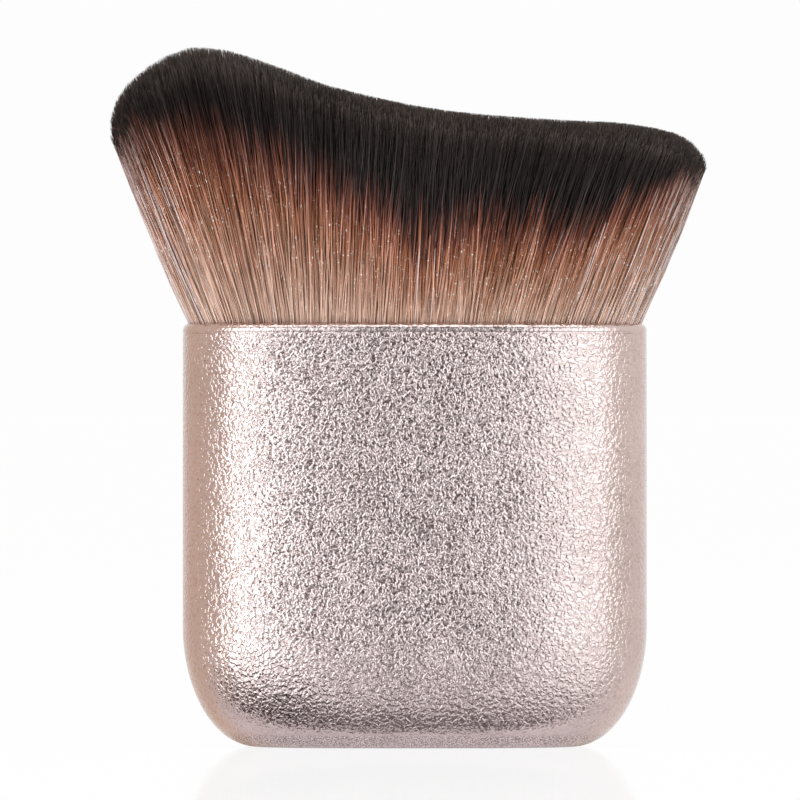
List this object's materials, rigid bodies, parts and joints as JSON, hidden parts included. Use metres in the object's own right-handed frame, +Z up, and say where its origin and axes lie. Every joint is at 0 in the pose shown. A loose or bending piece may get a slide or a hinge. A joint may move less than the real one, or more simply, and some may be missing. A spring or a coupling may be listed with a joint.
{
  "type": "makeup brush",
  "caption": "Short wide makeup brush that stands on a flat-based metallised handle; a broad bristle head fans out of its mouth to a wave-shaped top with one raised end.",
  "frame": {"origin": "middle of the flat base, where the brush stands", "axes": "+Z up out of the handle towards the bristles; X along the handle's wide side, with the raised end of the wave at -X; +Y from the front of the brush, seen in the picture, to its back"},
  "size_m": [0.0743, 0.0351, 0.0903],
  "materials": {
    "handle": "vacuum-metallised champagne pink over a fine pebbled mould texture, glossy",
    "bristle": "fine synthetic fibre, beige at the root, brown in the middle and near-black at the tip",
    "cup": "drawn, satin",
    "band": "drawn strip, satin",
    "ballast": "sawn and tumbled steel",
    "glue": "cured amber hot-melt"
  },
  "bodies": {
    "root": {"handle_shell": "handle", "hair_cup": "cup", "cup_glue_bead": "glue", "root_band": "band", "ballast_weight": "ballast", "ballast_glue_pad": "glue", "bristle_tuft_1": "bristle", "bristle_tuft_2": "bristle", "bristle_tuft_3": "bristle", "bristle_tuft_4": "bristle", "bristle_tuft_5": "bristle", "bristle_tuft_6": "bristle", "bristle_tuft_7": "bristle", "bristle_tuft_8": "bristle", "bristle_tuft_9": "bristle"}
  },
  "joints": []
}
